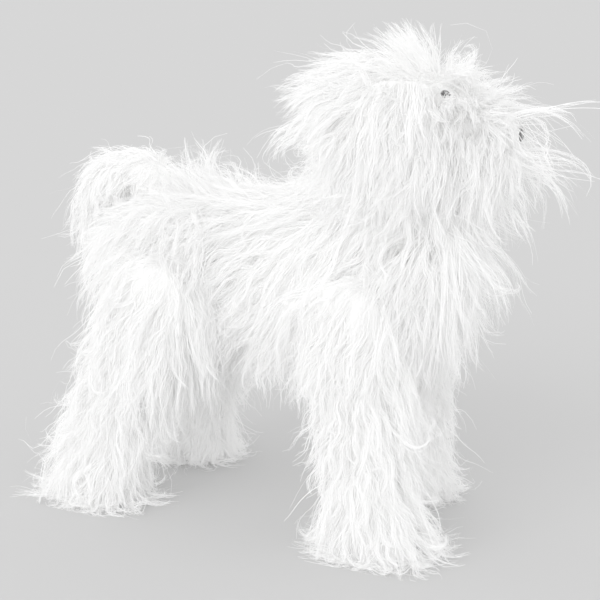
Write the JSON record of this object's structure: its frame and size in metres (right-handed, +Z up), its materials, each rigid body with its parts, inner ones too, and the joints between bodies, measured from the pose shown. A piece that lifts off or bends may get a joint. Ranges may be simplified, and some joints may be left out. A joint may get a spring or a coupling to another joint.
{
  "type": "plush dog",
  "caption": "Standing plush dog with very long shaggy white pile, disc-jointed head and legs, hanging ears, arched tail, black safety eyes and nose.",
  "frame": {"origin": "on the floor under the middle of the dog", "axes": "+X towards the front of the body, +Y to the dog's left, +Z up"},
  "size_m": [0.4155, 0.176, 0.3723],
  "materials": {
    "fur_body": "long white shaggy pile on a knitted backing",
    "fur_head": "long white shaggy pile on a knitted backing",
    "fur_ear": "long white shaggy pile on a knitted backing",
    "fur_leg": "long white shaggy pile on a knitted backing",
    "fur_tail": "long white shaggy pile on a knitted backing",
    "ear_lining": "short cream velour",
    "sole_felt": "short suede cloth",
    "stuffing": "white polyester fibre fill",
    "fibre_disc": "pressed hardboard",
    "steel": "zinc plated",
    "foot_board": "thin fibreboard",
    "eye_black": "polished black",
    "nose_black": "black, fine grained",
    "white_plastic": "moulded natural"
  },
  "bodies": {
    "torso": {"body_side_left": "fur_body", "body_side_right": "fur_body", "belly_panel": "fur_body", "body_stuffing": "stuffing", "body_joint_discs": "fibre_disc", "joint_bolts": "steel", "joint_locknuts": "steel", "joint_washers": "steel"},
    "head": {"head_side_left": "fur_head", "head_side_right": "fur_head", "head_gusset": "fur_head", "muzzle_panel": "fur_head", "head_stuffing": "stuffing", "head_joint_disc": "fibre_disc", "eye_left": "eye_black", "eye_right": "eye_black", "eye_washers": "white_plastic", "nose": "nose_black", "nose_washer": "white_plastic"},
    "ear_left": {"ear_left_fur": "fur_ear", "ear_left_lining": "ear_lining"},
    "ear_right": {"ear_right_fur": "fur_ear", "ear_right_lining": "ear_lining"},
    "tail": {"tail_cover": "fur_tail", "tail_stuffing": "stuffing"},
    "leg_front_left": {"leg_front_left_outer": "fur_leg", "leg_front_left_inner": "fur_leg", "leg_front_left_stuffing": "stuffing", "leg_front_left_sole": "sole_felt", "leg_front_left_board": "foot_board", "leg_front_left_disc": "fibre_disc"},
    "leg_front_right": {"leg_front_right_outer": "fur_leg", "leg_front_right_inner": "fur_leg", "leg_front_right_stuffing": "stuffing", "leg_front_right_sole": "sole_felt", "leg_front_right_board": "foot_board", "leg_front_right_disc": "fibre_disc"},
    "leg_rear_left": {"leg_rear_left_outer": "fur_leg", "leg_rear_left_inner": "fur_leg", "leg_rear_left_stuffing": "stuffing", "leg_rear_left_sole": "sole_felt", "leg_rear_left_board": "foot_board", "leg_rear_left_disc": "fibre_disc"},
    "leg_rear_right": {"leg_rear_right_outer": "fur_leg", "leg_rear_right_inner": "fur_leg", "leg_rear_right_stuffing": "stuffing", "leg_rear_right_sole": "sole_felt", "leg_rear_right_board": "foot_board", "leg_rear_right_disc": "fibre_disc"}
  },
  "joints": [
    {"name": "neck_swivel", "type": "hinge", "parent": "torso", "child": "head", "pos_m": [0.096, 0, 0.268], "axis": [0.342, 0, 0.9397], "range_deg": [-100, 46]},
    {"name": "ear_left_flap", "type": "hinge", "parent": "head", "child": "ear_left", "pos_m": [0.06166, 0.03435, 0.351], "axis": [0.891, 0.454, 0], "range_deg": [0, 60]},
    {"name": "ear_right_flap", "type": "hinge", "parent": "head", "child": "ear_right", "pos_m": [0.10361, -0.04797, 0.351], "axis": [-0.891, -0.454, 0], "range_deg": [0, 60]},
    {"name": "shoulder_left", "type": "hinge", "parent": "torso", "child": "leg_front_left", "pos_m": [0.072, 0.0405, 0.182], "axis": [0, -1, 0], "range_deg": [-11, 65]},
    {"name": "shoulder_right", "type": "hinge", "parent": "torso", "child": "leg_front_right", "pos_m": [0.072, -0.0405, 0.182], "axis": [0, -1, 0], "range_deg": [-20, 60]},
    {"name": "hip_left", "type": "hinge", "parent": "torso", "child": "leg_rear_left", "pos_m": [-0.104, 0.0405, 0.178], "axis": [0, -1, 0], "range_deg": [-50, 25]},
    {"name": "hip_right", "type": "hinge", "parent": "torso", "child": "leg_rear_right", "pos_m": [-0.104, -0.0405, 0.178], "axis": [0, -1, 0], "range_deg": [-42, 32]},
    {"name": "tail_lift", "type": "hinge", "parent": "torso", "child": "tail", "pos_m": [-0.113, 0, 0.231], "axis": [0, 1, 0], "range_deg": [-12, 18], "stiffness_Nm_per_rad": 0.2}
  ]
}
